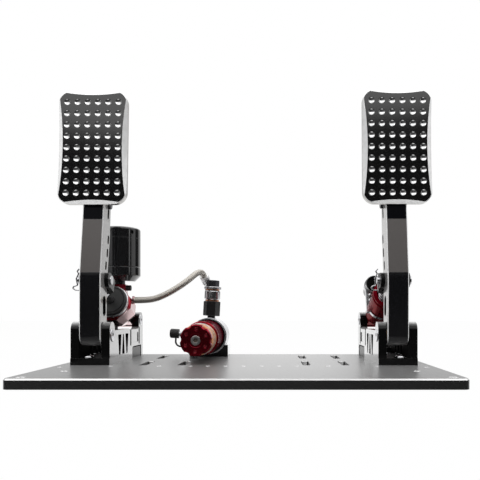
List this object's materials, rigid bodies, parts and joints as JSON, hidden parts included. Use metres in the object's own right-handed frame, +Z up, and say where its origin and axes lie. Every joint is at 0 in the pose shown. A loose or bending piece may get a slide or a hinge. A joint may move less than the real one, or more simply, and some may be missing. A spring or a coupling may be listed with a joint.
{
  "type": "sim racing pedal set",
  "caption": "Driving simulator pedals on one black base plate: hydraulic brake with a slave cylinder and elastomer stack, and a damped throttle with a coil spring.",
  "frame": {"origin": "middle of the base plate's underside", "axes": "+X across the set towards the throttle, +Y away from the driver, +Z up"},
  "size_m": [0.433, 0.3, 0.3283],
  "materials": {
    "black_plate": "fine satin black anodising",
    "black_billet": "satin black anodising",
    "black_arm": "satin black anodising with bright edges",
    "black_face": "black anodising, bare machined bevels and dimples",
    "red_anodised": "glossy deep red anodising",
    "satin_silver": "bright satin",
    "bright_steel": "polished",
    "dark_steel": "blackened",
    "bronze": "satin",
    "copper": "satin",
    "pink_union": "bright satin",
    "gloss_black": "glossy",
    "black_rubber": "matt",
    "orange_elastomer": "smooth, slightly glossy",
    "steel_braid": "fine steel braid under a clear coat"
  },
  "bodies": {
    "base": {"base_plate": "black_plate", "mount_bolts": "bright_steel", "brake_bracket": "black_billet", "throttle_bracket": "black_billet", "brake_rear_block": "black_billet", "throttle_rear_block": "black_billet", "pivot_axles": "bright_steel", "rear_pins": "bright_steel", "pin_caps": "bright_steel", "slave_body": "satin_silver", "slave_flange": "black_billet", "slave_barrel": "red_anodised", "slave_elastomers": "orange_elastomer", "slave_washers": "satin_silver", "slave_cap": "red_anodised", "slave_cap_screws": "dark_steel", "slave_tie_rod": "satin_silver", "slave_saddle": "black_billet", "port_adapter": "black_billet", "copper_washers": "copper", "banjo_bolt": "dark_steel", "banjo_fitting": "bright_steel", "hose_ferrule": "bright_steel", "brake_hose": "steel_braid", "bleed_nipple": "bright_steel", "bleed_cap": "black_rubber"},
    "brake_pedal": {"brake_arm": "black_arm", "brake_face": "black_face", "brake_face_screws": "dark_steel", "brake_bushes": "bronze", "brake_pin": "bright_steel", "brake_pin_clip": "bright_steel"},
    "master_cylinder": {"master_body": "red_anodised", "master_ring": "satin_silver", "master_boot": "black_rubber", "master_outlet": "pink_union", "neck_plug": "black_rubber", "reservoir_neck": "gloss_black", "reservoir_tank": "gloss_black", "reservoir_cap": "gloss_black"},
    "brake_pushrod": {"brake_fork": "black_billet", "pushrod": "bright_steel", "pushrod_nut": "bright_steel", "master_piston": "bright_steel"},
    "slave_plunger": {"slave_piston": "red_anodised"},
    "throttle_pedal": {"throttle_arm": "black_arm", "throttle_face": "black_face", "throttle_face_screws": "dark_steel", "throttle_bushes": "bronze", "throttle_pin": "bright_steel", "throttle_pin_clip": "bright_steel"},
    "damper": {"damper_body": "red_anodised", "damper_reservoir": "gloss_black", "damper_band": "bright_steel"},
    "damper_shaft": {"throttle_fork": "black_billet", "damper_rod": "bright_steel", "spring_seat": "black_billet", "return_spring": "bright_steel"}
  },
  "joints": [
    {"name": "brake_pivot", "type": "hinge", "parent": "base", "child": "brake_pedal", "pos_m": [-0.1765, -0.01, 0.044], "axis": [-1, 0, 0], "range_deg": [0, 9], "stiffness_Nm_per_rad": 150, "springref_deg": -1.15},
    {"name": "master_tilt", "type": "hinge", "parent": "base", "child": "master_cylinder", "pos_m": [-0.1765, 0.126, 0.06], "axis": [-1, 0, 0], "range_deg": [0, 0.8]},
    {"name": "pushrod_slide", "type": "slide", "parent": "master_cylinder", "child": "brake_pushrod", "axis": [0, 0.933, -0.3598], "range_m": [0, 0.0104]},
    {"name": "slave_slide", "type": "slide", "parent": "base", "child": "slave_plunger", "axis": [0, -1, 0], "range_m": [0, 0.0027], "deforming": ["slave_elastomers", "slave_washers"]},
    {"name": "throttle_pivot", "type": "hinge", "parent": "base", "child": "throttle_pedal", "pos_m": [0.1765, -0.01, 0.044], "axis": [-1, 0, 0], "range_deg": [0, 14], "stiffness_Nm_per_rad": 8, "springref_deg": -8.59},
    {"name": "damper_tilt", "type": "hinge", "parent": "base", "child": "damper", "pos_m": [0.1765, 0.126, 0.06], "axis": [-1, 0, 0], "range_deg": [0, 0.9]},
    {"name": "damper_slide", "type": "slide", "parent": "damper", "child": "damper_shaft", "axis": [0, 0.933, -0.3598], "range_m": [0, 0.0162], "deforming": ["return_spring"]}
  ],
  "couplings": [
    {"joint": "master_tilt", "follows": "brake_pivot", "ratio": 0.0765},
    {"joint": "pushrod_slide", "follows": "brake_pivot", "m_per_rad": 0.0647},
    {"joint": "slave_slide", "follows": "brake_pivot", "m_per_rad": 0.01655},
    {"joint": "damper_tilt", "follows": "throttle_pivot", "ratio": 0.0599},
    {"joint": "damper_slide", "follows": "throttle_pivot", "m_per_rad": 0.0649}
  ]
}
